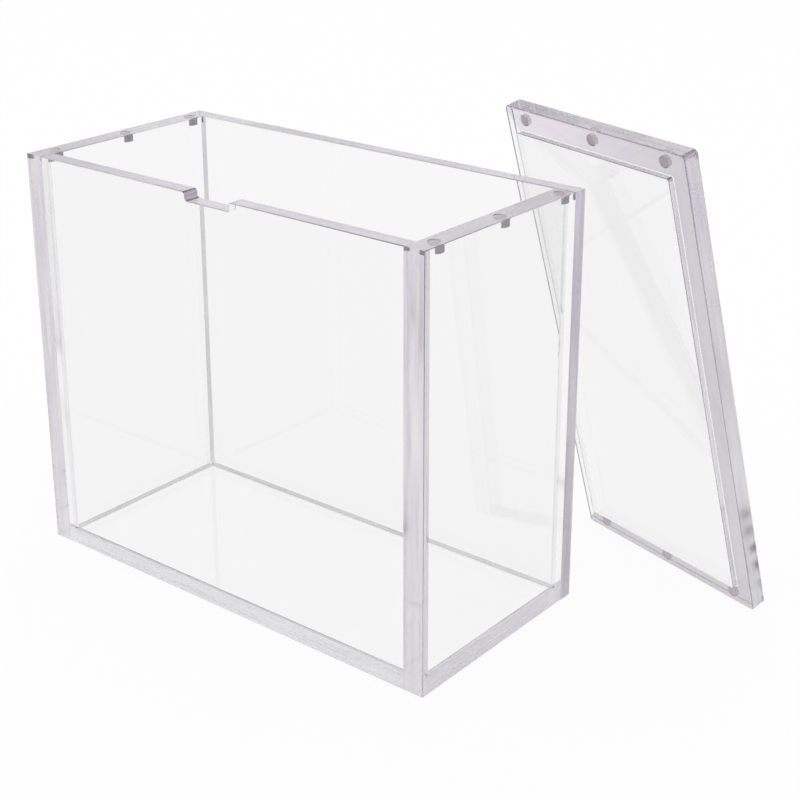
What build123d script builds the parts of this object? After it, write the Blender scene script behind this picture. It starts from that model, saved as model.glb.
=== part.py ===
from build123d import *
import os
from math import cos, radians, sin, tan

# Clear acrylic storage box with a lift-off lid, in mm.
# The origin is in the middle of the box's underside, on the surface that it stands on.
# +X runs along the box's length, -Y is its front, +Z is up.
# The box stands open. Its lid leans on the box's rear right top corner, with its underside to the front.

# Driving sizes
box_length = 180
box_depth = 86
box_height = 152
long_sheet = 6
end_sheet = 8
base_sheet = 4
locating_sheet = 2
arris = 0.4
notch_width = 20
notch_depth = 3
notch_radius = 1.2
magnet_diameter = 4
magnet_thickness = 3
magnet_sink = 0.1
magnet_end_inset = 9.5
magnet_arris = 0.2
pocket_clearance = 0.1
locating_clearance = 0.3
locating_radius = 1
lean_gap = 0.3
lid_foot_x = 64.8
lid_turn = 15.6
lid_lean = 15.7

# Derived sizes of the box
half_length = box_length / 2
half_depth = box_depth / 2
inner_length = box_length - 2 * end_sheet
end_wall_depth = box_depth - long_sheet
inner_depth = box_depth - 2 * long_sheet
magnet_count = 3
magnet_pitch = half_depth - magnet_end_inset
magnet_radius = magnet_diameter / 2
pocket_radius = magnet_radius + pocket_clearance
pocket_depth = magnet_sink + magnet_thickness + pocket_clearance
end_wall_centre = half_length - end_sheet / 2

# Derived sizes of the lid, which has the box's outline
locating_length = inner_length - 2 * locating_clearance
locating_depth = inner_depth - 2 * locating_clearance
lid_magnet_inset = end_sheet / 2

# The lid plate's underside leans forward from its foot, a corner that stands on the floor.
# The plate's width runs along `across`, and its thickness runs along `outward`, to the back and up.
across = Vector(cos(radians(lid_turn)), -sin(radians(lid_turn)), 0)
backward = Vector(sin(radians(lid_turn)), cos(radians(lid_turn)), 0)
outward = backward * cos(radians(lid_lean)) + Vector(0, 0, sin(radians(lid_lean)))

# The lid rests against the box's rear right edge, at the edge's top or at the locating plate's, whichever is lower.
# The foot's Y follows from that point, which the locating plate clears by lean_gap.
locating_top = (box_length + locating_length) / 2
locating_rise = locating_top * cos(radians(lid_lean)) - locating_sheet * sin(radians(lid_lean))
touch_height = min(box_height, locating_rise)
touch_reach = (locating_sheet + lean_gap) / cos(radians(lid_lean))
touch_lean = touch_height * tan(radians(lid_lean))
touch_turn = (half_length - lid_foot_x) * sin(radians(lid_turn))
lid_foot_y = half_depth + (touch_reach + touch_lean + touch_turn) / cos(radians(lid_turn))
lid_underside = Plane(origin=(lid_foot_x, lid_foot_y, 0), x_dir=across, z_dir=-outward)

# Where the magnets sit, as offsets along each short side from its middle
magnet_offsets = [magnet_pitch * (i - (magnet_count - 1) / 2) for i in range(magnet_count)]
magnet_names = ["front", "middle", "rear"]

os.makedirs("parts", exist_ok=True)


def finish(piece, name):
    """Labels a finished piece and writes it as its own file."""
    piece.part.label = name
    export_step(piece.part, f"parts/{name}.step")
    print(f"{name}: {piece.part.volume / 1000:.2f} cm3")


def base_panel():
    """The floor of the box, cut to fit between the four walls."""
    with BuildPart() as base:
        with BuildSketch(Plane.XY):
            Rectangle(inner_length, inner_depth)
        extrude(amount=base_sheet)
    finish(base, "base_panel")


def front_wall():
    """The front wall, between the end walls, with a finger notch in the middle of its top edge."""
    notch_floor = box_height - notch_depth
    half_inner = inner_length / 2
    half_notch = notch_width / 2
    with BuildPart() as wall:
        with BuildSketch(Plane.XZ.offset(half_depth)) as face:
            with BuildLine():
                Polyline(
                    (-half_inner, 0),
                    (half_inner, 0),
                    (half_inner, box_height),
                    (half_notch, box_height),
                    (half_notch, notch_floor),
                    (-half_notch, notch_floor),
                    (-half_notch, box_height),
                    (-half_inner, box_height),
                    close=True,
                )
            make_face()
            notch_corners = face.vertices().filter_by_position(Axis.X, -half_notch, half_notch)
            fillet(notch_corners.group_by(Axis.Y)[0], radius=notch_radius)
            fillet(notch_corners.group_by(Axis.Y)[-1], radius=arris)
        extrude(amount=-long_sheet)
        top_edges = wall.faces().filter_by(Axis.Z).sort_by(Axis.Z)[-2:].edges().filter_by(Axis.X)
        chamfer(top_edges, length=arris)
        chamfer(wall.edges().filter_by(Axis.X).group_by(Axis.Z)[0].sort_by(Axis.Y)[0], length=arris)
    finish(wall, "front_wall")


def back_wall():
    """The back wall, over the box's full length, behind the ends of the end walls."""
    with BuildPart() as wall:
        with BuildSketch(Plane.XY):
            with Locations((0, half_depth - long_sheet / 2)):
                Rectangle(box_length, long_sheet)
        extrude(amount=box_height)
        rear_edges = wall.faces().sort_by(Axis.Y)[-1].edges()
        top_inner_edge = wall.faces().sort_by(Axis.Z)[-1].edges().sort_by(Axis.Y)[0]
        chamfer(rear_edges + [top_inner_edge], length=arris)
    finish(wall, "back_wall")


def end_wall(name, side):
    """A thick end wall, from the box's front face to the back wall, with magnet pockets in its top edge."""
    centre_y = -long_sheet / 2
    with BuildPart() as wall:
        with BuildSketch(Plane.XY):
            with Locations((side * end_wall_centre, centre_y)):
                Rectangle(end_sheet, end_wall_depth)
        extrude(amount=box_height)
        outer_face = wall.faces().sort_by(Axis.X)[-1 if side > 0 else 0]
        top_face = wall.faces().sort_by(Axis.Z)[-1]
        outer_edges = outer_face.edges() - outer_face.edges().filter_by(Axis.Z).sort_by(Axis.Y)[-1:]
        top_inner_edge = top_face.edges().filter_by(Axis.Y).sort_by(Axis.X)[0 if side > 0 else -1]
        front_edges = wall.faces().sort_by(Axis.Y)[0].edges().filter_by(Axis.X)
        chamfer(outer_edges + [top_inner_edge] + front_edges, length=arris)
        with Locations(Plane.XY.offset(box_height)):
            with Locations(*[(side * end_wall_centre, offset) for offset in magnet_offsets]):
                Hole(radius=pocket_radius, depth=pocket_depth)
    finish(wall, name)


def magnet(name, plane, point):
    """A small disc magnet, just below the face that its pocket is sunk in."""
    with BuildPart() as disc:
        with BuildSketch(plane.offset(-magnet_sink)):
            with Locations(point):
                Circle(magnet_radius)
        extrude(amount=-magnet_thickness)
        chamfer(disc.edges().filter_by(GeomType.CIRCLE), length=magnet_arris)
    finish(disc, name)


def lid_plate():
    """The outer lid plate, with magnet pockets in the underside of its two short margins."""
    with BuildPart() as plate:
        with BuildSketch(lid_underside):
            with Locations((half_depth, half_length)):
                Rectangle(box_depth, box_length)
        extrude(amount=-long_sheet)
        chamfer(plate.edges(), length=arris)
        with Locations(lid_underside):
            with Locations(*[point for _, point in lid_magnet_points()]):
                Hole(radius=pocket_radius, depth=pocket_depth)
    finish(plate, "lid_plate")


def lid_locating_plate():
    """The thin plate under the lid plate, which drops between the box's walls."""
    with BuildPart() as plate:
        with BuildSketch(lid_underside):
            with Locations((half_depth, half_length)):
                RectangleRounded(locating_depth, locating_length, locating_radius)
        extrude(amount=locating_sheet)
        chamfer(plate.faces().sort_by(Axis(lid_underside.origin, lid_underside.z_dir))[-1].edges(), length=arris)
    finish(plate, "lid_locating_plate")


def lid_magnet_points():
    """Each lid magnet's name and its point on the lid plate's underside."""
    ends = {"lower": lid_magnet_inset, "upper": box_length - lid_magnet_inset}
    return [
        (f"lid_magnet_{end}_{place}", (half_depth + offset, along))
        for end, along in ends.items()
        for place, offset in zip(["left", "middle", "right"], magnet_offsets)
    ]


base_panel()
front_wall()
back_wall()
end_wall("left_wall", -1)
end_wall("right_wall", 1)
for side_name, side in [("left", -1), ("right", 1)]:
    for place, offset in zip(magnet_names, magnet_offsets):
        magnet(f"box_magnet_{side_name}_{place}", Plane.XY.offset(box_height), (side * end_wall_centre, offset))
lid_plate()
lid_locating_plate()
for name, point in lid_magnet_points():
    magnet(name, lid_underside, point)
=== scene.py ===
"""Looks of the clear acrylic storage box whose lid leans on its rear right corner.

Every sheet is a closed mesh of its own, cut a hair smaller than its neighbours at each glued joint, so that
light is led along inside it and leaves at its sawn edges, as in the real box. All sizes are in metres.
"""
import logging
import math
from dataclasses import dataclass
from enum import Enum

import bpy
import numpy as np
from mathutils import Matrix, Vector


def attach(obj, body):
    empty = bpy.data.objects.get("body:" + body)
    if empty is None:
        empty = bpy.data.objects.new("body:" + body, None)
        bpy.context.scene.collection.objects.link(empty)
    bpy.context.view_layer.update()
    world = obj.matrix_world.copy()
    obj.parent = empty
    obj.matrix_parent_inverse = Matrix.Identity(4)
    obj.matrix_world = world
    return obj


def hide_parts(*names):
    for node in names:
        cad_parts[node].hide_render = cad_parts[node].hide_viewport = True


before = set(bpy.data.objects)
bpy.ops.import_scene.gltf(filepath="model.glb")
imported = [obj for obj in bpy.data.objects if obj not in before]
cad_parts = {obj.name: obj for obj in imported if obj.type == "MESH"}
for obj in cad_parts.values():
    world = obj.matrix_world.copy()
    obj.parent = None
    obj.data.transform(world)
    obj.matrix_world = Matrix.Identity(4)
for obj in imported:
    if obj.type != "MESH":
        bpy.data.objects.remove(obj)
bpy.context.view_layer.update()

MM = 0.001
EX, EY, EZ = np.eye(3)
Colour = tuple[float, float, float]
Span = tuple[float, float]
Socket = bpy.types.NodeSocket
Inputs = dict[str | int, Socket | float | tuple[float, ...]]
log = logging.getLogger("acrylic_box")


class Body(Enum):
    """The two rigid bodies of the model."""

    BOX = "box"
    LID = "lid"


class Slot(Enum):
    """The record's material slots."""

    BASE = "clear_sheet_base"
    WALLS = "clear_sheet_walls"
    ENDS = "clear_sheet_ends"
    LID = "clear_sheet_lid"
    LOCATING = "clear_sheet_locating"
    BOX_MAGNETS = "box_magnets"
    LID_MAGNETS = "lid_magnets"


class Mark(Enum):
    """The attributes that the clear sheet's finish reads: five of its faces and one of its points."""

    SAWN = "sawn"
    FROST = "frost"
    # where a painted dark line stands for the shade along an arris
    LINE = "line"
    # where the lid's margin gets its painted shade
    MARGIN = "margin"
    # how much painted shade a face carries
    TONE = "tone"
    PLACE = "place"


class End(Enum):
    """The box's two ends, and the side of the middle that each is on."""

    LEFT = -1
    RIGHT = 1


# Shapes


@dataclass(frozen=True)
class Placement:
    """Where a sheet lies: one of its corners and the directions of its width and height.

    Its thickness runs along the cross product of the two, so faces always point outwards.
    """

    origin: np.ndarray
    along: np.ndarray
    up: np.ndarray

    @property
    def axes(self) -> np.ndarray:
        """The unit directions of its width, height and thickness, one in each row."""
        return np.stack([self.along, self.up, np.cross(self.along, self.up)])

    def to_frame(self, points: np.ndarray) -> np.ndarray:
        """Places points given as width w, height h and depth d: origin + w along + h up + d (along x up)."""
        return self.origin + points @ self.axes

    def from_frame(self, points: np.ndarray) -> np.ndarray:
        """The width, height and depth of placed points: the reach of each from the origin along each axis."""
        return (points - self.origin) @ self.axes.T

    def moved(self, width: float = 0.0, height: float = 0.0, depth: float = 0.0) -> "Placement":
        """The same placement with its corner moved along its own three directions."""
        return Placement(self.to_frame(np.array([width, height, depth])), self.along, self.up)


@dataclass(frozen=True)
class Shell:
    """A surface, as points and faces, and whether each face is shaded as part of a curve."""

    points: np.ndarray
    faces: list[list[int]]
    curved: np.ndarray

    def placed(self, placement: Placement) -> "Shell":
        """The same shell, carried from its own directions to the frame's."""
        return Shell(placement.to_frame(self.points), self.faces, self.curved)


def rectangle(width: float, height: float) -> np.ndarray:
    """The corners of a rectangle from (0, 0), anticlockwise."""
    return np.array([(0, 0), (width, 0), (width, height), (0, height)], float)


def rounded(corners: np.ndarray, radii: np.ndarray, steps: int = 10) -> np.ndarray:
    """Rounds the corners of a closed anticlockwise outline.

    A corner c with unit directions a and b to its neighbours, at an angle g to each other, gets an arc of
    radius r about c + (a + b) / |a + b| * r / sin(g / 2), swept from one tangent point to the other.

    Args:
        corners: The outline's corners, n by 2.
        radii: The radius at each corner, zero for a sharp one.
        steps: Points along each arc, less one.

    Returns:
        The outline with steps + 1 points in place of each corner, without repeats.
    """
    same_point = 1e-9
    to_last = np.roll(corners, 1, axis=0) - corners
    to_next = np.roll(corners, -1, axis=0) - corners
    to_last /= np.linalg.norm(to_last, axis=1, keepdims=True)
    to_next /= np.linalg.norm(to_next, axis=1, keepdims=True)
    half = np.arccos(np.clip((to_last * to_next).sum(1), -1, 1)) / 2
    middle = to_last + to_next
    middle /= np.linalg.norm(middle, axis=1, keepdims=True)
    centres = corners + middle * (radii / np.sin(half))[:, None]
    reach = (radii / np.tan(half))[:, None]
    first = (corners + to_last * reach - centres)[:, None]
    last = (corners + to_next * reach - centres)[:, None]
    turn = (np.pi - 2 * half)[:, None, None]
    share = np.linspace(0, 1, steps + 1)[None, :, None]
    swept = np.sin((1 - share) * turn) * first + np.sin(share * turn) * last
    points = (centres[:, None] + swept / np.sin(turn)).reshape(-1, 2)
    apart = np.linalg.norm(points - np.roll(points, 1, axis=0), axis=1) > same_point
    return points[apart]


def edges_of(outline: np.ndarray) -> np.ndarray:
    """The vector of each edge of a closed outline, from a point to the next."""
    return np.roll(outline, -1, axis=0) - outline


def middles(outline: np.ndarray) -> np.ndarray:
    """The middle of each edge of a closed outline."""
    return (outline + np.roll(outline, -1, axis=0)) / 2


def at_height(outline: np.ndarray, height: float) -> np.ndarray:
    """A flat outline as points at one height."""
    return np.column_stack([outline, np.full(len(outline), height)])


def inset(outline: np.ndarray, distances: np.ndarray) -> np.ndarray:
    """Moves each edge of an anticlockwise outline inwards by its own distance.

    The point between edges with inward unit normals n and m and distances p and q moves by
    ((p - q k) n + (q - p k) m) / (1 - k * k), where k = n . m, or by p n where the two are in line.

    Args:
        outline: The outline, n by 2.
        distances: How far each edge moves.

    Returns:
        The new outline, point for point with the old one.
    """
    nearly_one = 1 - 1e-7
    edge = edges_of(outline)
    edge /= np.linalg.norm(edge, axis=1, keepdims=True)
    after = np.stack([-edge[:, 1], edge[:, 0]], axis=1)
    before = np.roll(after, 1, axis=0)
    q = distances[:, None]
    p = np.roll(q, 1, axis=0)
    k = (before * after).sum(1, keepdims=True)
    in_line = np.abs(k) > nearly_one
    bent = ((p - q * k) * before + (q - p * k) * after) / np.where(in_line, 1, 1 - k * k)
    return outline + np.where(in_line, p * before, bent)


def nearest_edge(outline: np.ndarray, points: np.ndarray) -> tuple[np.ndarray, np.ndarray]:
    """Finds the edge of a closed outline that is nearest to each point.

    The nearest place to p on an edge from a to b is a + s (b - a), where s is (p - a) . (b - a) over the
    square of the edge's length, and no less than 0 or more than 1.

    Args:
        outline: The outline, n by 2.
        points: The points, m by 2.

    Returns:
        The number of each point's nearest edge, and how far away that edge is.
    """
    edge = edges_of(outline)
    from_start = points[:, None] - outline
    share = np.clip((from_start * edge).sum(2) / (edge ** 2).sum(1), 0, 1)
    distance = np.linalg.norm(from_start - share[..., None] * edge, axis=2)
    return distance.argmin(1), distance.min(1)


def stack(rings: np.ndarray, curved: np.ndarray) -> Shell:
    """Joins rings of points into a closed shell.

    Point i of a ring is joined to point i + 1 and to the same points of the next ring, and the first and
    last rings are closed by one flat face each.

    Args:
        rings: Rings by points by 3, anticlockwise when seen from the last ring.
        curved: Whether each face between two rings is part of a curve, for all rings or for one.

    Returns:
        The shell, its faces outwards.
    """
    count, n = rings.shape[:2]
    here = np.arange(n)
    after = (here + 1) % n
    low, high = (n * (ring + np.arange(count - 1))[:, None] for ring in (0, 1))
    sides = np.stack([low + here, low + after, high + after, high + here], axis=-1).reshape(-1, 4)
    caps = [here[::-1].tolist(), (n * (count - 1) + here).tolist()]
    flags = np.append(np.broadcast_to(curved, (count - 1, n)).ravel(), [False, False])
    return Shell(rings.reshape(-1, 3), sides.tolist() + caps, flags)


def turned(profile: np.ndarray, segments: int) -> Shell:
    """Turns a profile about the thickness direction.

    Point (r, h) of the profile at the angle a is (r cos a, r sin a, h).

    Args:
        profile: The profile, as radii and heights, from the bottom up.
        segments: How many faces go once round.

    Returns:
        The shell, closed at both ends.
    """
    angle = np.arange(segments) * (2 * np.pi / segments)
    circle = np.stack([np.cos(angle), np.sin(angle)], axis=1)
    flat = profile[:, 0][:, None, None] * circle
    height = np.repeat(profile[:, 1], segments).reshape(len(profile), segments, 1)
    return stack(np.concatenate([flat, height], axis=2), np.array(True))


def disc_profile(radius: float, thickness: float, rounding: float, steps: int = 5) -> np.ndarray:
    """Half the outline of a disc with rounded rims.

    At the angle f from 0 to 90 degrees, a point of the lower rim is the radius less c (1 - sin f) out and
    c (1 - cos f) up, where c is the rounding, and the upper rim mirrors it.

    Args:
        radius: The disc's radius.
        thickness: Its thickness.
        rounding: The radius of its rims.
        steps: Points along each rim.

    Returns:
        The points as radii and heights, from its lower face to its upper one.
    """
    angle = np.linspace(0, np.pi / 2, steps)
    low = np.stack([radius - rounding * (1 - np.sin(angle)), rounding * (1 - np.cos(angle))], axis=1)
    return np.concatenate([low, (low * (1, -1) + (0, thickness))[::-1]])


def join(shells: list[Shell]) -> Shell:
    """Makes one shell of several that don't touch, each one's point numbers moved past those before it.

    Args:
        shells: The shells.

    Returns:
        The one shell.
    """
    starts = np.cumsum([0] + [len(shell.points) for shell in shells])
    faces = [(np.array(f) + start).tolist() for start, shell in zip(starts, shells) for f in shell.faces]
    points = np.concatenate([shell.points for shell in shells])
    return Shell(points, faces, np.concatenate([shell.curved for shell in shells]))


def add_mesh(name: str, shell: Shell) -> bpy.types.Object:
    """Puts a shell into a new object at the origin.

    Args:
        name: The object's name.
        shell: Its surface.

    Returns:
        The object.
    """
    mesh = bpy.data.meshes.new(name)
    mesh.from_pydata(shell.points.tolist(), [], shell.faces)
    mesh.polygons.foreach_set("use_smooth", shell.curved)
    mesh.update()
    piece = bpy.data.objects.new(name, mesh)
    bpy.context.scene.collection.objects.link(piece)
    return piece


def read_vectors(items: bpy.types.bpy_prop_collection, name: str) -> np.ndarray:
    """Reads a vector of each of a mesh's vertices or faces.

    Args:
        items: The vertices or faces.
        name: The vector's name.

    Returns:
        The vectors, n by 3.
    """
    values = np.empty(len(items) * 3, np.float32)
    items.foreach_get(name, values)
    return values.reshape(-1, 3)


def drill(piece: bpy.types.Object, pockets: Shell) -> None:
    """Cuts pockets out of a piece, and leaves the result in its mesh.

    Args:
        piece: The piece.
        pockets: The drill's shape, closed, with its faces outwards.
    """
    cutter = add_mesh("pockets", pockets)
    cut = piece.modifiers.new("pockets", "BOOLEAN")
    cut.operation, cut.solver, cut.object = "DIFFERENCE", "EXACT", cutter
    whole = piece.data
    bpy.context.view_layer.update()
    piece.data = bpy.data.meshes.new_from_object(piece.evaluated_get(bpy.context.evaluated_depsgraph_get()))
    piece.data.name = whole.name
    piece.modifiers.clear()
    bpy.data.meshes.remove(whole)
    bpy.data.meshes.remove(cutter.data)


@dataclass(frozen=True)
class Sheet:
    """A flat sheet whose free edges are rounded over and whose glued edges are left square.

    Attributes:
        placement: Where it lies.
        outline: Its outline, anticlockwise, in the placement's width and height.
        thickness: Its thickness.
        low: Which edges of the outline are rounded over on its first face.
        high: The same on its second face.
        rounding: The radius of those edges.
        middle: The outline of the part inside its margin, point for point with its own, or None.
        tone: How much painted shade each edge of the outline carries, from 0 to 1, or one number for all.
        pane: The same for its two faces.
        frost: How much rougher than a polished one each edge is, or one number for all.
        line: Which edges carry a painted dark line, standing for shade, where they are rounded over to the
            second face.
        line_reach: How far a painted dark line reaches over the second face from the sheet's left side.
        pocket_frost: How much rougher a drilled pocket's wall is than a polished edge.
        arc_piece: The length under which an edge of the outline is part of an arc.
        face_depth: How near to one of the two faces a flat part lies.
        face_on: The cosine past which a part faces as the two faces do.
        drill_clearance: How much further from the outline than the roundings a pocket's wall lies.
        arris_facing: The cosine past which a part of an edge counts as rounded over.
        all_along: A line's reach where it runs the whole way, longer than any sheet.
        line_slack: What every line's reach falls short by, so that a reach of nothing shows none.
    """

    placement: Placement
    outline: np.ndarray
    thickness: float
    low: np.ndarray
    high: np.ndarray
    rounding: float
    middle: np.ndarray | None = None
    tone: np.ndarray | float = 0.0
    pane: float = 0.0
    frost: np.ndarray | float = 0.0
    line: np.ndarray | bool = False
    line_reach: float = 0.0
    pocket_frost: float = 0.45
    arc_piece: float = 1 * MM
    face_depth: float = 0.005 * MM
    face_on: float = 0.999
    drill_clearance: float = 0.2 * MM
    arris_facing: float = 0.1
    all_along: float = 1.0
    line_slack: float = 0.01 * MM

    def shell(self, steps: int = 7) -> Shell:
        """Builds its surface as rings.

        At the angle f from 0 to 90 degrees, a ring of the rounding of radius r stands r (1 - sin f) inside
        the outline at the height r (1 - cos f), and the other face's rings mirror it. The outline of the
        middle part, where there is one, is one more ring in each face.

        Args:
            steps: Rings over each rounding.

        Returns:
            The shell, in place.
        """
        angle = np.linspace(0, np.pi / 2, steps)
        inwards, heights = self.rounding * (1 - np.sin(angle)), self.rounding * (1 - np.cos(angle))
        first = [(inset(self.outline, self.low * i), h) for i, h in zip(inwards, heights)]
        last = [(inset(self.outline, self.high * i), self.thickness - h) for i, h in zip(inwards, heights)]
        levels = first + last[::-1]
        wide = self.middle is not None
        if wide:
            levels = [(self.middle, 0.0), *levels, (self.middle, self.thickness)]
        rings = np.stack([at_height(flat, height) for flat, height in levels])
        band = np.arange(len(levels) - 1)[:, None] - wide
        over_low = (band >= 0) & (band < steps - 1) & (self.low > 0)
        over_high = (band >= steps) & (band < 2 * steps - 1) & (self.high > 0)
        in_arc = np.linalg.norm(edges_of(self.outline), axis=1) < self.arc_piece
        bend = in_arc & (band >= 0) & (band < 2 * steps - 1)
        return stack(rings, over_low | over_high | bend).placed(self.placement)

    def mark(self, piece: bpy.types.Object) -> None:
        """Writes the marks that the finish reads.

        Place is a point's own width, height and depth in the sheet. A face is flat where it lies in one of
        the sheet's two faces, and then its tone, the amount of painted shade, is the pane's. It is margin,
        which gets the lid's painted margin shade, where it is in the second one, to the right of the middle
        part, below it or above it. Any other face is drilled where it is further from the outline than the
        roundings reach. The rest are sawn, by the sine of the angle from the face's normal to the thickness,
        and have their nearest edge's tone and frost. Line is the width up to which a face shows a painted
        dark line, standing for shade.

        Args:
            piece: The sheet's object, after any drilling.
        """
        mesh = piece.data
        place = self.placement.from_frame(read_vectors(mesh.vertices, "co"))
        centre = self.placement.from_frame(read_vectors(mesh.polygons, "center"))
        facing = np.abs(read_vectors(mesh.polygons, "normal") @ self.placement.axes[2])
        nearest, away = nearest_edge(self.outline, centre[:, :2])
        depth = np.minimum(np.abs(centre[:, 2]), np.abs(centre[:, 2] - self.thickness))
        flat = (facing > self.face_on) & (depth < self.face_depth)
        drilled = ~flat & (away > self.rounding + self.drill_clearance)
        sawn = np.where(flat | drilled, 0.0, np.sqrt(np.clip(1 - facing ** 2, 0, 1)))
        second = centre[:, 2] > self.thickness / 2
        inner = self.outline if self.middle is None else self.middle
        right, bottom, top = inner[:, 0].max(), inner[:, 1].min(), inner[:, 1].max()
        beyond = (centre[:, 0] > right) | (centre[:, 1] < bottom) | (centre[:, 1] > top)
        total = len(self.outline)
        # tone, line and margin place painted shade: darker edges and panes, dark lines and the lid's margin
        # shade
        tone, frost, line = (np.broadcast_to(v, total)[nearest] for v in (self.tone, self.frost, self.line))
        arris = line & (sawn > 0) & (facing > self.arris_facing) & second
        reach = np.where(arris, self.all_along, np.where(flat & second, self.line_reach, 0.0))
        marks = {
            Mark.SAWN: sawn,
            Mark.FROST: np.where(drilled, self.pocket_frost, frost * (sawn > 0)),
            Mark.LINE: reach - self.line_slack,
            Mark.MARGIN: flat & second & beyond,
            Mark.TONE: tone * (sawn > 0) + self.pane * flat,
        }
        for mark, values in marks.items():
            layer = mesh.attributes.new(mark.value, "FLOAT", "FACE")
            layer.data.foreach_set("value", values.astype(np.float32))
        layer = mesh.attributes.new(Mark.PLACE.value, "FLOAT_VECTOR", "POINT")
        layer.data.foreach_set("vector", place.astype(np.float32).ravel())

    def make(self, name: str, pockets: Shell | None = None) -> bpy.types.Object:
        """Builds the sheet.

        Args:
            name: The piece's name.
            pockets: What is drilled out of it.

        Returns:
            The piece, with its marks.
        """
        piece = add_mesh(name, self.shell())
        if pockets is not None:
            drill(piece, pockets)
        self.mark(piece)
        return piece


# Finishes


@dataclass(frozen=True)
class Noise:
    """A noise pattern: how many of its blots a metre holds, and how many finer layers it has."""

    scale: float
    detail: float = 2.0


class Graph:
    """A material's or world's node tree, built up from empty."""

    def __init__(self, owner: bpy.types.Material | bpy.types.World) -> None:
        """Starts the tree with its output node alone.

        Args:
            owner: The material or world.
        """
        owner.use_nodes = True
        self.tree = owner.node_tree
        self.tree.nodes.clear()
        kind = "ShaderNodeOutputWorld" if isinstance(owner, bpy.types.World) else "ShaderNodeOutputMaterial"
        self.output = self.add(kind)

    def add(self, kind: str, inputs: Inputs | None = None, **settings: str) -> bpy.types.Node:
        """Adds a node.

        Args:
            kind: The node's type.
            inputs: Values or output sockets for its inputs, by name or number.
            settings: Values for its own settings.

        Returns:
            The node.
        """
        node = self.tree.nodes.new(kind)
        for key, value in settings.items():
            setattr(node, key, value)
        for key, value in (inputs or {}).items():
            if isinstance(value, Socket):
                self.tree.links.new(value, node.inputs[key])
            else:
                node.inputs[key].default_value = value
        return node

    def show(self, shader: bpy.types.Node, part: str = "Surface") -> None:
        """Links a shader to the output's surface, or to its volume."""
        self.tree.links.new(shader.outputs[0], self.output.inputs[part])

    def where(self) -> Socket:
        """The place on the object, which is the place in the frame."""
        return self.add("ShaderNodeTexCoord").outputs["Object"]

    def mark(self, name: Mark) -> Socket:
        """One of the piece's own attributes, as a number, or as a place."""
        outputs = self.add("ShaderNodeAttribute", attribute_name=name.value).outputs
        return outputs["Vector" if name is Mark.PLACE else "Fac"]

    def parts(self, place: Socket) -> tuple[Socket, Socket, Socket]:
        """The three numbers of a place."""
        return tuple(self.add("ShaderNodeSeparateXYZ", {0: place}).outputs)

    def math(self, operation: str, *values: Socket | float) -> Socket:
        """The result of a Math node on numbers or sockets."""
        return self.add("ShaderNodeMath", dict(enumerate(values)), operation=operation).outputs[0]

    def noise(self, where: Socket, pattern: Noise) -> Socket:
        """A noise pattern's value."""
        inputs = {"Vector": where, "Scale": pattern.scale, "Detail": pattern.detail}
        return self.add("ShaderNodeTexNoise", inputs).outputs[0]

    def stretched(self, where: Socket, scale: tuple[float, float, float]) -> Socket:
        """Coordinates scaled apart along the three axes."""
        return self.add("ShaderNodeMapping", {"Vector": where, "Scale": scale}).outputs[0]

    def ramp(self, value: Socket, span: Span, results: Span = (0.0, 1.0)) -> Socket:
        """A number that runs from one result to the other as the value crosses the span, and no further."""
        inputs = {"Value": value, 1: span[0], 2: span[1], 3: results[0], 4: results[1]}
        return self.add("ShaderNodeMapRange", inputs).outputs[0]

    def blend(self, share: Socket, a: Socket | Colour, b: Socket | Colour) -> Socket:
        """The colour a, or b where share is 1. Each is a colour or a socket."""
        full = [c if isinstance(c, Socket) else (*c, 1) for c in (a, b)]
        return self.add("ShaderNodeMix", {0: share, 6: full[0], 7: full[1]}, data_type="RGBA").outputs[2]

    def bump(
        self, relief: Socket, height: float, strength: float = 1.0, over: Socket | None = None
    ) -> Socket:
        """Turns a normal by a relief.

        Args:
            relief: The relief, from 0 to 1.
            height: How high it stands where it is 1.
            strength: How much of it shows.
            over: The normal that it starts from, or None for the surface's own.

        Returns:
            The normal.
        """
        inputs = {"Height": relief, "Distance": height, "Strength": strength}
        if over is not None:
            inputs["Normal"] = over
        return self.add("ShaderNodeBump", inputs).outputs[0]


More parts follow.
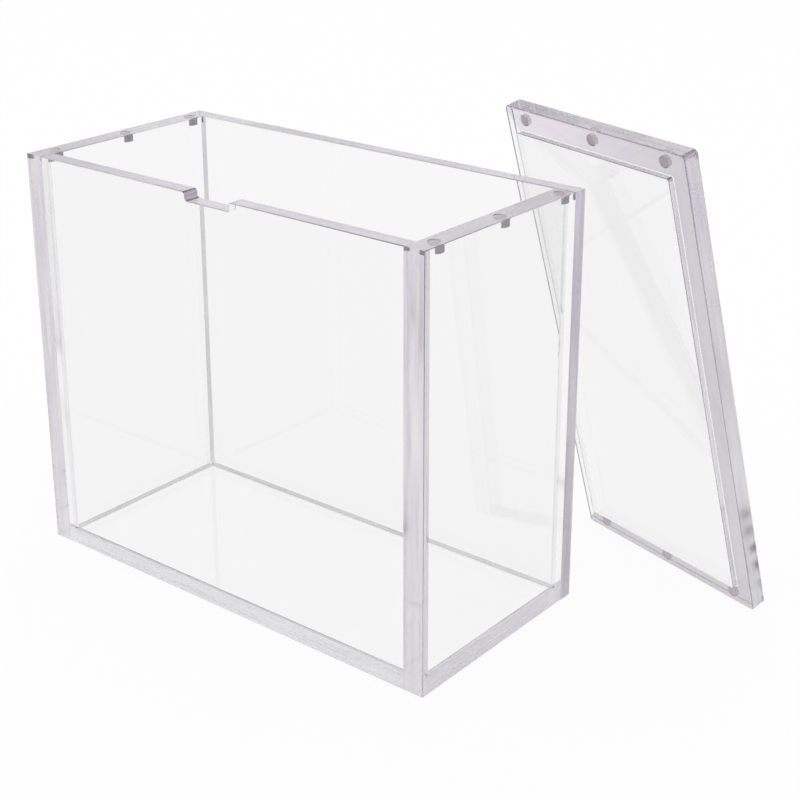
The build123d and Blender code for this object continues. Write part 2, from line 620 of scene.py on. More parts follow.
@dataclass(frozen=True)
class ClearSheet:
    """Clear cast acrylic, faintly lilac in its depth, with polished saw marks on its edges, and with painted
    shade on its faces and edges, over the lid's margin and in dark lines along some arrises.

    Attributes:
        name: The material's name.
        refraction: Its index of refraction.
        depth_tint: The colour that the sheet's depth leans to.
        depth_density: How soon it does, per metre.
        face_light: What is left of the light that crosses a sheet whose faces carry the least painted shade.
        face_dark: The same where they carry the most painted shade.
        edge_light: The same for a sawn edge that carries the least painted shade.
        edge_warm: The same for one that carries the most painted shade, high up at the front.
        edge_cool: The same for it low down or at the back.
        edge_turn: Where the edges' painted shade turns from cool to warm, as heights over the box's middle.
        edge_lean: How much height a step to the back is worth in that.
        line_tint: The same for a painted dark line, which stands for the shade along an arris.
        margin_warm: The same for the painted shade over the lid's margin, where it is warmer.
        margin_cool: The same where it is cooler.
        margin_turn: Where across the lid it turns from one to the other.
        margin_foot: How far up the lid its lower margin reaches, which is cool all along.
        drifts: The wandering of those turns.
        drift: How far they wander in all.
        gleam: Strength of its head-on reflections.
        smears: Faint smears on the faces.
        smear_span: The values of that pattern from which smears start and where they are full.
        smear_blur: How much a full smear blurs.
        polish: The unevenness of the edges' polish.
        polish_span: The values of that pattern where the polish is best and where it is worst.
        polish_shares: The shares of the edges' blur that they have there.
        edge_roughness: How much the edges blur, on top of the faces.
        waves: The cast surface's slow waves.
        wave_height: Their height.
        saw_lines: The lines that the saw left along the edges, and polishing softened.
        saw_stretch: How many of them go to a metre of width, height and thickness.
        saw_height: Their height.
        streak_span: The values of that pattern where an edge is palest and where it is darkest.
        streaks: How much painted shade they take away or add there.
    """

    name: str = "clear_sheet"
    refraction: float = 1.49
    depth_tint: Colour = (0.50, 0.46, 0.54)
    depth_density: float = 2.2
    # Colours of the painted shade on the faces, the edges, the dark lines and the lid's margin.
    face_light: Colour = (0.982, 0.983, 0.981)
    face_dark: Colour = (0.938, 0.939, 0.937)
    edge_light: Colour = (0.95, 0.945, 0.955)
    edge_warm: Colour = (0.59, 0.45, 0.66)
    edge_cool: Colour = (0.495, 0.49, 0.525)
    edge_turn: Span = (0.03, 0.14)
    edge_lean: float = 0.8
    line_tint: Colour = (0.10, 0.095, 0.105)
    margin_warm: Colour = (0.72, 0.61, 0.73)
    margin_cool: Colour = (0.405, 0.388, 0.435)
    margin_turn: Span = (0.012, 0.082)
    margin_foot: float = 0.012
    drifts: Noise = Noise(40.0)
    drift: float = 0.03
    gleam: float = 0.45
    smears: Noise = Noise(22.0, detail=4.0)
    smear_span: Span = (0.45, 0.65)
    smear_blur: float = 0.012
    polish: Noise = Noise(18.0)
    polish_span: Span = (0.35, 0.65)
    polish_shares: Span = (0.5, 1.5)
    edge_roughness: float = 0.11
    waves: Noise = Noise(14.0, detail=1.0)
    wave_height: float = 0.02 * MM
    saw_lines: Noise = Noise(1.0)
    saw_stretch: tuple[float, float, float] = (25.0, 25.0, 900.0)
    saw_height: float = 0.02 * MM
    streak_span: Span = (0.3, 0.7)
    streaks: float = 0.4

    def make(self) -> bpy.types.Material:
        """Builds the material.

        Returns:
            The material.
        """
        material = bpy.data.materials.new(self.name)
        graph = Graph(material)
        where = graph.where()
        lines = graph.noise(graph.stretched(graph.mark(Mark.PLACE), self.saw_stretch), self.saw_lines)
        ridges = graph.math("MULTIPLY", lines, graph.mark(Mark.SAWN))
        waved = graph.bump(graph.noise(where, self.waves), self.wave_height)
        graph.show(graph.add("ShaderNodeBsdfPrincipled", {
            "Base Color": self.tint(graph, where, lines),
            "Roughness": self.blur(graph, where),
            "IOR": self.refraction,
            "Transmission Weight": 1.0,
            "Specular Tint": (self.gleam, self.gleam, self.gleam, 1),
            "Normal": graph.bump(ridges, self.saw_height, over=waved),
        }))
        inside = {"Color": (*self.depth_tint, 1), "Density": self.depth_density}
        graph.show(graph.add("ShaderNodeVolumeAbsorption", inside), "Volume")
        return material

    def blur(self, graph: Graph, where: Socket) -> Socket:
        """The roughness: smears on the faces, uneven polish on the edges, and the frost of each.

        Args:
            graph: The material's tree.
            where: The place on the object.

        Returns:
            The roughness.
        """
        smears = graph.ramp(graph.noise(where, self.smears), self.smear_span, (0.0, self.smear_blur))
        least, most = self.polish_shares
        edge = (least * self.edge_roughness, most * self.edge_roughness)
        polish = graph.ramp(graph.noise(where, self.polish), self.polish_span, edge)
        blur = graph.math("MULTIPLY_ADD", graph.mark(Mark.SAWN), polish, smears)
        return graph.math("ADD", blur, graph.mark(Mark.FROST))

    def tint(self, graph: Graph, where: Socket, lines: Socket) -> Socket:
        """The share of the light that crosses each surface, with painted shade: darker panes, darker edges
        that run from cool low down and at the back to warm high at the front, a painted shade over the lid's
        margin and painted dark lines.

        Args:
            graph: The material's tree.
            where: The place on the object.
            lines: The saw lines' pattern.

        Returns:
            The colour.
        """
        # painted shade on the panes and the edges, by each face's tone
        painted_shade = graph.mark(Mark.TONE)
        drift = graph.math("MULTIPLY_ADD", graph.noise(where, self.drifts), self.drift, -self.drift / 2)
        # the edges' painted shade is warm high up at the front and cool low down and at the back
        _, back, height = graph.parts(where)
        forward = graph.math("MULTIPLY_ADD", back, -self.edge_lean, graph.math("ADD", height, drift))
        edge_dark = graph.blend(graph.ramp(forward, self.edge_turn), self.edge_cool, self.edge_warm)
        streaks = graph.ramp(lines, self.streak_span, (-self.streaks, self.streaks))
        edge = graph.blend(graph.math("ADD", painted_shade, streaks), self.edge_light, edge_dark)
        tint = graph.blend(graph.mark(Mark.SAWN), graph.blend(painted_shade, self.face_light, self.face_dark), edge)
        # painted shade over the lid's margin, warm at one side, cool at the other and along its foot
        width, length, _ = graph.parts(graph.mark(Mark.PLACE))
        margin_shade = graph.ramp(graph.math("ADD", width, drift), self.margin_turn)
        margin_shade = graph.math("MAXIMUM", margin_shade, graph.math("LESS_THAN", length, self.margin_foot))
        margin = graph.blend(margin_shade, self.margin_warm, self.margin_cool)
        tint = graph.blend(graph.mark(Mark.MARGIN), tint, margin)
        # painted dark lines, which stand for the shade along some arrises
        return graph.blend(graph.math("LESS_THAN", width, graph.mark(Mark.LINE)), tint, self.line_tint)


@dataclass(frozen=True)
class JointCement:
    """The cement that rose at the inner corners, greyer than the sheets and uneven along its length.

    Attributes:
        name: The material's name.
        refraction: Its index of refraction, so low that it hardly bends or mirrors what is behind it.
        clear_tint: What is left of the light that crosses it where it is clearest.
        dull_tint: The same where it is dullest.
        patches: Where it is clear and where dull.
        roughness: How much its surface blurs at least.
        drops: The drops that it set in.
        drop_blur: How much more their tops blur.
        ripple: Their height.
    """

    name: str = "joint_cement"
    refraction: float = 1.03
    clear_tint: Colour = (0.76, 0.755, 0.77)
    dull_tint: Colour = (0.60, 0.595, 0.615)
    patches: Noise = Noise(60.0)
    roughness: float = 0.03
    drops: Noise = Noise(120.0, detail=3.0)
    drop_blur: float = 0.05
    ripple: float = 0.06 * MM

    def make(self) -> bpy.types.Material:
        """Builds the material.

        Returns:
            The material.
        """
        material = bpy.data.materials.new(self.name)
        graph = Graph(material)
        where = graph.where()
        drops = graph.noise(where, self.drops)
        graph.show(graph.add("ShaderNodeBsdfPrincipled", {
            "Base Color": graph.blend(graph.noise(where, self.patches), self.clear_tint, self.dull_tint),
            "Roughness": graph.math("MULTIPLY_ADD", drops, self.drop_blur, self.roughness),
            "IOR": self.refraction,
            "Transmission Weight": 1.0,
            "Normal": graph.bump(drops, self.ripple),
        }))
        return material


@dataclass(frozen=True)
class PlatedSteel:
    """Nickel plating over a pressed magnet, slightly pebbled and dulled.

    Attributes:
        name: The material's name.
        colour: The plating's colour.
        worn_colour: The same where it is dulled.
        patches: Where it is dulled.
        roughness: How much it blurs where it is bright.
        worn_blur: How much more it blurs where it is dulled.
        pebbles: The pebbled surface.
        pebble_height: The pebbles' height.
        pebble_strength: How much of them shows.
    """

    name: str = "plated_magnet"
    colour: Colour = (0.60, 0.52, 0.56)
    worn_colour: Colour = (0.46, 0.38, 0.425)
    patches: Noise = Noise(600.0, detail=3.0)
    roughness: float = 0.28
    worn_blur: float = 0.18
    pebbles: Noise = Noise(4200.0)
    pebble_height: float = 0.02 * MM
    pebble_strength: float = 0.6

    def make(self) -> bpy.types.Material:
        """Builds the material.

        Returns:
            The material.
        """
        material = bpy.data.materials.new(self.name)
        graph = Graph(material)
        where = graph.where()
        patches = graph.noise(where, self.patches)
        graph.show(graph.add("ShaderNodeBsdfPrincipled", {
            "Base Color": graph.blend(patches, self.colour, self.worn_colour),
            "Metallic": 1.0,
            "Roughness": graph.math("MULTIPLY_ADD", patches, self.worn_blur, self.roughness),
            "Normal": graph.bump(graph.noise(where, self.pebbles), self.pebble_height, self.pebble_strength),
        }))
        return material


# The box and its lid


def dress(
    piece: bpy.types.Object, body: Body, nodes: list[str], finish: bpy.types.Material
) -> None:
    """Gives a finished piece its material and body, and reports it.

    Args:
        piece: The piece.
        body: The body that it moves with.
        nodes: The CAD nodes that it stands for.
        finish: Its material.
    """
    piece.data.materials.clear()
    piece.data.materials.append(finish)
    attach(piece, body.value)
    if nodes:
        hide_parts(*nodes)
    log.info("%s: %d faces, on the %s", piece.name, len(piece.data.polygons), body.value)


@dataclass(frozen=True)
class Stock:
    """The sheet and magnet sizes that the box and its lid share.

    Attributes:
        length: The box's length, and the lid's.
        depth: The box's depth from front to back, and the lid's width.
        height: The box's height.
        long_sheet: Thickness of the long walls and the lid plate.
        end_sheet: Thickness of the end walls.
        base_sheet: Thickness of the base.
        locating_sheet: Thickness of the plate under the lid plate.
        edge_rounding: Radius of the box's free edges.
        top_tone: How much painted shade the tops of the front and end walls carry, from 0 to 1.
        foot_tone: The same for the feet of all four walls.
        film: The gap at a glued joint.
        magnet_radius: The magnets' radius.
        magnet_thickness: Their thickness.
        magnet_sink: How far they lie below the mouths of their pockets.
        magnet_rounding: The radius of their rims.
        magnet_segments: Faces once round one.
        magnet_crease: The angle past which an edge of one stays sharp.
        magnet_end_inset: From the box's front or back to the middle of the nearest ones.
        pocket_clearance: The clearance round and behind them.
        pocket_segments: Faces once round a pocket.
    """

    length: float = 180 * MM
    depth: float = 86 * MM
    height: float = 152 * MM
    long_sheet: float = 6 * MM
    end_sheet: float = 8 * MM
    base_sheet: float = 4 * MM
    locating_sheet: float = 2 * MM
    edge_rounding: float = 0.25 * MM
    # amounts of painted shade on the walls' tops and feet
    top_tone: float = 0.05
    foot_tone: float = 0.06
    film: float = 0.03 * MM
    magnet_radius: float = 2 * MM
    magnet_thickness: float = 3 * MM
    magnet_sink: float = 0.1 * MM
    magnet_rounding: float = 0.25 * MM
    magnet_segments: int = 48
    magnet_crease: float = math.radians(40)
    magnet_end_inset: float = 9.5 * MM
    pocket_clearance: float = 0.1 * MM
    pocket_segments: int = 64

    @property
    def magnet_offsets(self) -> np.ndarray:
        """Where the three magnets of a short side sit, from its middle."""
        return (self.depth / 2 - self.magnet_end_inset) * np.array([-1.0, 0.0, 1.0])

    def magnet(self, name: str, mouth: Placement) -> bpy.types.Object:
        """A magnet, just below the mouth of its pocket.

        Args:
            name: The piece's name.
            mouth: The pocket's middle, with its thickness direction out of the mouth.

        Returns:
            The piece, with its rims smooth.
        """
        profile = disc_profile(self.magnet_radius, self.magnet_thickness, self.magnet_rounding)
        profile = profile - (0, self.magnet_thickness + self.magnet_sink)
        piece = add_mesh(name, turned(profile, self.magnet_segments).placed(mouth))
        piece.data.shade_smooth()
        piece.data.set_sharp_from_angle(angle=self.magnet_crease)
        return piece

    def pocket(self, mouth: Placement) -> Shell:
        """The drill's shape for one pocket, standing proud of its mouth.

        Args:
            mouth: The same as for its magnet.

        Returns:
            The shape.
        """
        radius = self.magnet_radius + self.pocket_clearance
        deep = self.magnet_sink + self.magnet_thickness + self.pocket_clearance
        profile = np.array([(radius, -deep), (radius, self.edge_rounding)])
        return turned(profile, self.pocket_segments).placed(mouth)


@dataclass
class OpenBox:
    """The box: a base, a front wall between the end walls, and a back wall behind their ends.

    Attributes:
        stock: The sheets and magnets.
        sheet: The sheets' finish.
        plating: The magnets' finish.
        cement: The cement beads' finish.
        clear_cement: The finish of those that are nearly clear.
        clear_beads: Which these are.
        notch_width: Width of the finger notch.
        notch_depth: Its depth.
        notch_radii: The radii of its corners at the left and at the right.
        notch_frost: How much rougher its left side is than a polished edge.
        bead: Size of the cement beads.
        bead_gap: Their gap to the sheets.
        bead_sweep: Where their hollow side starts and ends on its circle, in degrees.
        post_tone: How much painted shade the end walls' upright edges carry, from 0 to 1.
        back_end_tone: The same for the back wall's upright edges.
        base_tone: The same for the base's long edges and for its short ones.
        far_pane: The same for the faces of the back wall and the left one.
        near_pane: The same for the faces of the front wall and the right one.
    """

    stock: Stock
    sheet: bpy.types.Material
    plating: bpy.types.Material
    cement: bpy.types.Material
    clear_cement: bpy.types.Material
    clear_beads: tuple[str, ...] = ("back_right", "front_left")
    notch_width: float = 20 * MM
    notch_depth: float = 3 * MM
    notch_radii: tuple[float, float] = (1.2 * MM, 0.5 * MM)
    notch_frost: float = 0.35
    bead: float = 1.3 * MM
    bead_gap: float = 0.02 * MM
    bead_sweep: Span = (4.0, 86.0)
    # amounts of painted shade: upright edges, base edges, and the far faces darker than the near ones
    post_tone: float = 0.2
    back_end_tone: float = 0.65
    base_tone: tuple[float, float] = (0.05, 0.0)
    far_pane: float = 0.85
    near_pane: float = 0.1

    def build(self) -> None:
        """Builds every piece of the box."""
        self.base()
        self.front_wall()
        self.back_wall()
        for end in End:
            self.end_wall(end)
        self.beads()

    def base(self) -> None:
        """The base, between the four walls, square at every edge."""
        stock = self.stock
        width = stock.length - 2 * (stock.end_sheet + stock.film)
        depth = stock.depth - 2 * (stock.long_sheet + stock.film)
        sheet = Sheet(
            placement=Placement(np.array([-width / 2, -depth / 2, 0]), EX, EY),
            outline=rectangle(width, depth),
            thickness=stock.base_sheet,
            low=np.zeros(4),
            high=np.zeros(4),
            rounding=stock.edge_rounding,
            # painted shade on the base's edges
            tone=np.array(self.base_tone * 2),
        )
        dress(sheet.make("box_base"), Body.BOX, ["base_panel"], self.sheet)

    def front_wall(self) -> None:
        """The front wall, with its finger notch: an outline with four rounded corners at its top.

        The notch's left side is frosted, and its right side carries a painted dark line, standing for shade,
        along its front arris.
        """
        stock = self.stock
        width = stock.length - 2 * (stock.end_sheet + stock.film)
        left, right = (width - self.notch_width) / 2, (width + self.notch_width) / 2
        floor = stock.height - self.notch_depth
        corners = np.array([
            (0, 0), (width, 0), (width, stock.height), (right, stock.height),
            (right, floor), (left, floor), (left, stock.height), (0, stock.height),
        ])
        at_left, at_right = self.notch_radii
        outline = rounded(corners, np.array([0, 0, 0, at_right, at_right, at_left, at_left, 0]))
        x, z = middles(outline).T
        run, rise = np.abs(edges_of(outline)).T
        high = z > stock.height / 2
        free = (x > stock.film) & (x < width - stock.film)
        notch = (x > left - at_left) & (x < right + at_right) & free & high
        sheet = Sheet(
            placement=Placement(np.array([-width / 2, stock.long_sheet - stock.depth / 2, 0]), EX, EZ),
            outline=outline,
            thickness=stock.long_sheet,
            low=free & high,
            high=free,
            rounding=stock.edge_rounding,
            # painted shade on the edges and faces, and a painted dark line along the notch's right side
            tone=np.where(high, stock.top_tone, stock.foot_tone),
            pane=self.near_pane,
            frost=self.notch_frost * (notch & (x < width / 2)),
            line=notch & (rise > run) & (x > width / 2),
        )
        dress(sheet.make("box_front"), Body.BOX, ["front_wall"], self.sheet)

    def back_wall(self) -> None:
        """The back wall, over the whole length."""
        stock = self.stock
        outline = rectangle(stock.length, stock.height)
        top = middles(outline)[:, 1] > stock.height - stock.edge_rounding
        sheet = Sheet(
            placement=Placement(np.array([-stock.length / 2, stock.depth / 2, 0]), EX, EZ),
            outline=outline,
            thickness=stock.long_sheet - stock.film,
            low=np.ones(4),
            high=top,
            rounding=stock.edge_rounding,
            # painted shade on the edges, darkest at the upright ends, and on the faces
            tone=np.array([stock.foot_tone, self.back_end_tone, 0.0, self.back_end_tone]),
            pane=self.far_pane,
        )
        dress(sheet.make("box_back"), Body.BOX, ["back_wall"], self.sheet)

    def end_wall(self, end: End) -> None:
        """One end wall and its three magnets.

        Args:
            end: Which end it is.
        """
        stock = self.stock
        name, side = end.name.lower(), end.value
        outer = side * stock.length / 2
        corner = np.array([min(outer, outer - side * stock.end_sheet), -stock.depth / 2, 0])
        top = Placement(np.array([side * (stock.length - stock.end_sheet) / 2, 0, stock.height]), EX, EY)
        mouths = [top.moved(height=offset) for offset in stock.magnet_offsets]
        rear = stock.depth - stock.long_sheet
        outline = rectangle(rear, stock.height)
        y, z = middles(outline).T
        outer_free, inner_free = y < rear - stock.edge_rounding, z > stock.height - stock.edge_rounding
        low, high = (inner_free, outer_free) if end is End.RIGHT else (outer_free, inner_free)
        sheet = Sheet(
            placement=Placement(corner, EY, EZ),
            outline=outline,
            thickness=stock.end_sheet,
            low=low,
            high=high,
            rounding=stock.edge_rounding,
            # painted shade on the edges, and on the faces, darker on the left wall
            tone=np.array([stock.foot_tone, self.post_tone, stock.top_tone, self.post_tone]),
            pane=self.near_pane if end is End.RIGHT else self.far_pane,
        )
        piece = sheet.make(f"box_{name}_end", join([stock.pocket(mouth) for mouth in mouths]))
        dress(piece, Body.BOX, [f"{name}_wall"], self.sheet)
        for place, mouth in zip(("front", "middle", "rear"), mouths):
            magnet = stock.magnet(f"magnet_{name}_{place}", mouth)
            dress(magnet, Body.BOX, [f"box_magnet_{name}_{place}"], self.plating)

    def bead_profile(self, steps: int = 7) -> np.ndarray:
        """The section of a cement bead in a corner at (0, 0).

        Its hollow side is a quarter of a circle of the bead's size b about (b, b), from one wall to the
        other: (b - b cos a, b - b sin a). It stands off both walls by the gap.

        Args:
            steps: Points along the hollow side.

        Returns:
            The section's outline, anticlockwise.
        """
        b, gap = self.bead, self.bead_gap
        start, end = (math.radians(angle) for angle in self.bead_sweep)
        angle = np.linspace(start, end, steps)[::-1]
        hollow = np.stack([b - b * np.cos(angle), b - b * np.sin(angle)], axis=1)
        return np.concatenate([[(gap, gap)], np.maximum(hollow, gap)])

    def beads(self) -> None:
        """The cement beads: four up the inner corners and four round the base.

        Each run is where its corner starts, the directions of its section's two sides, and its length.
        """
        stock, b = self.stock, self.bead
        x, y, z = stock.length / 2 - stock.end_sheet, stock.depth / 2 - stock.long_sheet, stock.base_sheet
        low, side = z + b, 2 * (y - b)
        tall = stock.height - stock.edge_rounding - low
        runs = {
            "front_left": ((-x, -y, low), EX, EY, tall), "front_right": ((x, -y, low), EY, -EX, tall),
            "back_right": ((x, y, low), -EX, -EY, tall), "back_left": ((-x, y, low), -EY, EX, tall),
            "base_front": ((-x, -y, z), EY, EZ, 2 * x), "base_back": ((x, y, z), -EY, EZ, 2 * x),
            "base_left": ((-x, y - b, z), EX, EZ, side), "base_right": ((x, b - y, z), -EX, EZ, side),
        }
        profile = self.bead_profile()
        number = np.arange(len(profile))
        curved = (number > 0) & (number < len(profile) - 1)
        for name, (corner, one, other, length) in runs.items():
            rings = np.stack([at_height(profile, 0.0), at_height(profile, length)])
            bead = stack(rings, curved).placed(Placement(np.array(corner), one, other))
            finish = self.clear_cement if name in self.clear_beads else self.cement
            dress(add_mesh(f"cement_{name}", bead), Body.BOX, [], finish)


@dataclass
class LeaningLid:
    """The lid: a thick plate with a thin one under it that drops between the walls, and six magnets.

    Attributes:
        stock: The sheets and magnets.
        sheet: The sheets' finish.
        plating: The magnets' finish.
        foot_x: Where along the box the lid's left corner stands on the floor.
        turn: How far the lid is turned from the box's length.
        lean: How far it leans forward.
        lean_gap: Its gap to the box's corner.
        locating_clearance: The gap all round the thin plate when the lid is on.
        locating_radius: Radius of the thin plate's corners.
        corner_radius: Radius of the thick plate's corners.
        rounding: Radius of the thick plate's edges. The thin one has half of it.
        end_tone: How much painted shade the thick plate's short edges carry, from 0 to 1.
        left_tone: The same for its left edge.
        side_tone: The same for its right edge.
        side_frost: How much rougher that one is than a polished edge.
        locator_tone: How much painted shade the thin plate's right edge carries.
        line_reach: Width of the painted dark line, standing for shade, at the left of the underside.
        pane: How much painted shade the faces of both plates carry.
    """

    stock: Stock
    sheet: bpy.types.Material
    plating: bpy.types.Material
    foot_x: float = 64.8 * MM
    turn: float = math.radians(15.6)
    lean: float = math.radians(15.7)
    lean_gap: float = 0.3 * MM
    locating_clearance: float = 0.3 * MM
    locating_radius: float = 1 * MM
    corner_radius: float = 1.5 * MM
    rounding: float = 0.4 * MM
    # amounts of painted shade on the plates' edges and faces, and the width of the painted dark line
    end_tone: float = 0.25
    left_tone: float = 0.55
    side_tone: float = 0.15
    side_frost: float = 0.14
    locator_tone: float = 0.5
    line_reach: float = 0.9 * MM
    pane: float = 0.5

    @property
    def underside(self) -> Placement:
        """The plane of the plate's underside, from the corner that stands on the floor.

        The foot's Y is the box's rear edge, plus the locating sheet's reach past the plane, plus what the
        lean and the turn take up between the foot and the box's rear right top corner.

        Returns:
            The placement, its thickness direction out of the underside.
        """
        stock = self.stock
        across = np.array([math.cos(self.turn), -math.sin(self.turn), 0])
        backward = np.array([math.sin(self.turn), math.cos(self.turn), 0])
        outward = backward * math.cos(self.lean) + np.array([0, 0, math.sin(self.lean)])
        reach = (stock.locating_sheet + self.lean_gap) / math.cos(self.lean)
        rise = stock.height * math.tan(self.lean)
        shift = (stock.length / 2 - self.foot_x) * math.sin(self.turn)
        foot_y = stock.depth / 2 + (reach + rise + shift) / math.cos(self.turn)
        return Placement(np.array([self.foot_x, foot_y, 0]), across, np.cross(-outward, across))

    def build(self) -> None:
        """Builds both plates and the magnets."""
        stock = self.stock
        ends = {"lower": stock.end_sheet / 2, "upper": stock.length - stock.end_sheet / 2}
        mouths = {
            f"{end}_{place}": self.underside.moved(width=stock.depth / 2 + offset, height=along)
            for end, along in ends.items()
            for place, offset in zip(("left", "middle", "right"), stock.magnet_offsets)
        }
        self.thick_plate(join([stock.pocket(mouth) for mouth in mouths.values()]))
        self.thin_plate()
        for place, mouth in mouths.items():
            magnet = stock.magnet(f"magnet_lid_{place}", mouth)
            dress(magnet, Body.LID, [f"lid_magnet_{place}"], self.plating)

    def thick_plate(self, pockets: Shell) -> None:
        """The plate with the box's own outline.

        Args:
            pockets: What is drilled out of it.
        """
        stock = self.stock
        outline = rounded(rectangle(stock.depth, stock.length), np.full(4, self.corner_radius))
        inner = rectangle(stock.depth - 2 * stock.long_sheet, stock.length - 2 * stock.end_sheet)
        middle = rounded(inner, np.full(4, self.locating_radius)) + (stock.long_sheet, stock.end_sheet)
        x, y = middles(outline).T
        near = self.corner_radius / 2
        at_end, at_left, at_right = np.minimum(y, stock.length - y) < near, x < near, x > stock.depth - near
        plate = Sheet(
            placement=self.underside.moved(depth=-stock.long_sheet),
            outline=outline,
            thickness=stock.long_sheet,
            low=np.ones(len(outline)),
            high=np.ones(len(outline)),
            rounding=self.rounding,
            # the part outside the middle is the margin, which gets painted shade; painted shade on the edges
            # and faces, and a painted dark line at the left
            middle=middle,
            tone=np.where(at_end, self.end_tone, np.where(at_left, self.left_tone, self.side_tone)),
            pane=self.pane,
            frost=self.side_frost * at_right,
            line=at_left,
            line_reach=self.line_reach,
        )
        dress(plate.make("lid_top", pockets), Body.LID, ["lid_plate"], self.sheet)

    def thin_plate(self) -> None:
        """The plate under it, which drops between the walls, square where it is glued."""
        stock = self.stock
        margin, side = stock.end_sheet + self.locating_clearance, stock.long_sheet + self.locating_clearance
        width = stock.depth - 2 * side
        outline = rounded(rectangle(width, stock.length - 2 * margin), np.full(4, self.locating_radius))
        at_right = middles(outline)[:, 0] > width - self.locating_radius / 2
        plate = Sheet(
            placement=self.underside.moved(width=side, height=margin, depth=stock.film),
            outline=outline,
            thickness=stock.locating_sheet - stock.film,
            low=np.zeros(len(outline)),
            high=np.ones(len(outline)),
            rounding=self.rounding / 2,
            # painted shade on the right edge and on the faces
            tone=self.locator_tone * at_right,
            pane=self.pane,
        )
        dress(plate.make("lid_locator"), Body.LID, ["lid_locating_plate"], self.sheet)


# Studio


@dataclass(frozen=True)
class Lamp:
    """A square soft lamp that looks at the box.

    Attributes:
        name: Its name.
        place: Where it stands.
        power: Its power, in watts.
        size: The length of its side.
    """

    name: str
    place: tuple[float, float, float]
    power: float
    size: float


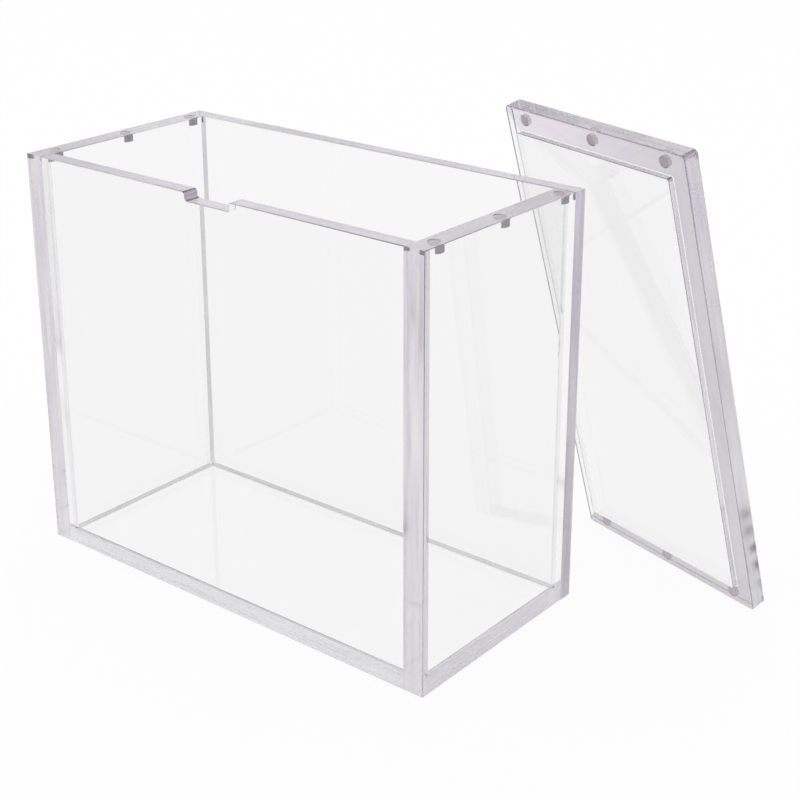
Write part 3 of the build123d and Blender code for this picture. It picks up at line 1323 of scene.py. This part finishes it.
@dataclass(frozen=True)
class Studio:
    """A pale floor, a plain surround, three soft lamps and the camera.

    Attributes:
        surround: The surround's colour as a light on matt surfaces.
        floor_half: Half the floor's side.
        floor_drop: How far it lies under the box.
        floor_grey: How much of the light its matt surface gives back.
        floor_lift: How much of the floor's white is its own, so that the shadow on it stays faint.
        lamps: The lamps.
        lamp_target: The point that they look at.
        look_at: The point in the middle of the view, before the shift.
        distance: From there to the camera.
        azimuth: The camera's bearing from the front, to the right, in degrees.
        elevation: Its height above the horizon, in degrees.
        sensor: Its sensor's width, in mm.
        lens: Its focal length, in mm.
        rise: Its upward shift, as a share of the picture's width.
        sight: The nearest and the furthest that it sees.
    """

    surround: Colour = (0.88, 0.88, 0.885)
    floor_half: float = 4.0
    floor_drop: float = 0.05 * MM
    floor_grey: float = 0.95
    floor_lift: float = 0.94
    lamps: tuple[Lamp, ...] = (
        Lamp("key", (-0.9, -0.6, 1.4), 1.6, 0.9),
        Lamp("fill", (1.4, -0.8, 0.9), 0.9, 0.9),
        Lamp("top", (0.0, 0.3, 1.7), 1.2, 1.0),
    )
    lamp_target: tuple[float, float, float] = (0.0, 0.0, 0.06)
    look_at: tuple[float, float, float] = (0.0460, 0.0, 0.1079)
    distance: float = 0.5517
    azimuth: float = 38.849
    elevation: float = 20.381
    sensor: float = 36.0
    lens: float = 73.94
    rise: float = -0.1
    sight: Span = (0.01, 50.0)

    def build(self) -> None:
        """Builds the whole studio."""
        self.set_render()
        self.build_floor()
        self.build_surround()
        for lamp in self.lamps:
            self.add_lamp(lamp)
        self.add_camera()

    @staticmethod
    def set_render() -> None:
        """Plain colours, and enough bounces for the light that is led along inside the sheets."""
        scene = bpy.context.scene
        scene.view_settings.view_transform = "Standard"
        scene.cycles.max_bounces = 160
        scene.cycles.glossy_bounces = 128
        scene.cycles.transmission_bounces = 64
        scene.cycles.transparent_max_bounces = 32

    @staticmethod
    def seen_directly(graph: Graph) -> Socket:
        """Tells what is seen from what only lights the scene.

        Args:
            graph: The tree that asks.

        Returns:
            1 for a ray from the camera, or one that was mirrored or let through, and 0 for any other.
        """
        path = graph.add("ShaderNodeLightPath").outputs
        plain = graph.math("MAXIMUM", path["Is Camera Ray"], path["Is Transmission Ray"])
        return graph.math("MAXIMUM", plain, path["Is Glossy Ray"])

    def build_floor(self) -> None:
        """A wide pale floor, just under the box."""
        corners = rectangle(2 * self.floor_half, 2 * self.floor_half) - self.floor_half
        floor = Shell(at_height(corners, -self.floor_drop), [[0, 1, 2, 3]], np.array([False]))
        piece = add_mesh("studio_floor", floor)
        material = bpy.data.materials.new("studio_floor")
        graph = Graph(material)
        grey = self.floor_grey
        matt = graph.add("ShaderNodeBsdfDiffuse", {"Color": (grey, grey, grey, 1)}).outputs[0]
        glow = graph.add("ShaderNodeEmission", {"Color": (1, 1, 1, 1), "Strength": 1.0}).outputs[0]
        share = graph.math("MULTIPLY", self.seen_directly(graph), self.floor_lift)
        graph.show(graph.add("ShaderNodeMixShader", {0: share, 1: matt, 2: glow}))
        piece.data.materials.append(material)

    def build_surround(self) -> None:
        """White where it is seen, mirrored or let through, and a plain grey light on matt surfaces."""
        world = bpy.data.worlds.new("studio_surround")
        bpy.context.scene.world = world
        graph = Graph(world)
        grey = graph.add("ShaderNodeBackground", {"Color": (*self.surround, 1)}).outputs[0]
        white = graph.add("ShaderNodeBackground", {"Color": (1, 1, 1, 1)}).outputs[0]
        graph.show(graph.add("ShaderNodeMixShader", {0: self.seen_directly(graph), 1: grey, 2: white}))

    def add_lamp(self, lamp: Lamp) -> None:
        """Adds a lamp, turned to the target.

        Args:
            lamp: The lamp.
        """
        light = bpy.data.lights.new(lamp.name, "AREA")
        light.energy, light.size = lamp.power, lamp.size
        holder = bpy.data.objects.new(lamp.name, light)
        bpy.context.scene.collection.objects.link(holder)
        holder.location = lamp.place
        towards = Vector(self.lamp_target) - holder.location
        holder.rotation_euler = towards.to_track_quat("-Z", "Y").to_euler()

    def add_camera(self) -> None:
        """Puts the camera where the photograph was taken from, upright, its axis through look_at."""
        a, e = math.radians(self.azimuth), math.radians(self.elevation)
        back = Vector((math.sin(a) * math.cos(e), -math.cos(a) * math.cos(e), math.sin(e)))
        right = (-back).cross(Vector((0, 0, 1))).normalized()
        turn = Matrix((right, right.cross(-back), back)).transposed()
        data = bpy.data.cameras.new("camera")
        data.sensor_width, data.lens, data.shift_y = self.sensor, self.lens, self.rise
        data.clip_start, data.clip_end = self.sight
        camera = bpy.data.objects.new("camera", data)
        bpy.context.scene.collection.objects.link(camera)
        camera.matrix_world = Matrix.Translation(Vector(self.look_at) + back * self.distance) @ turn.to_4x4()
        bpy.context.scene.camera = camera


def main() -> None:
    """Builds the studio, the box and the lid."""
    logging.basicConfig(level=logging.INFO, format="%(name)s: %(message)s")
    stock = Stock()
    sheet, plating = ClearSheet().make(), PlatedSteel().make()
    Studio().build()
    cement = JointCement().make()
    clear_cement = JointCement(
        name="joint_cement_clear", clear_tint=(0.95, 0.945, 0.955), dull_tint=(0.86, 0.855, 0.87)
    ).make()
    OpenBox(stock, sheet, plating, cement, clear_cement).build()
    LeaningLid(stock, sheet, plating).build()


if __name__ == "__main__":
    main()
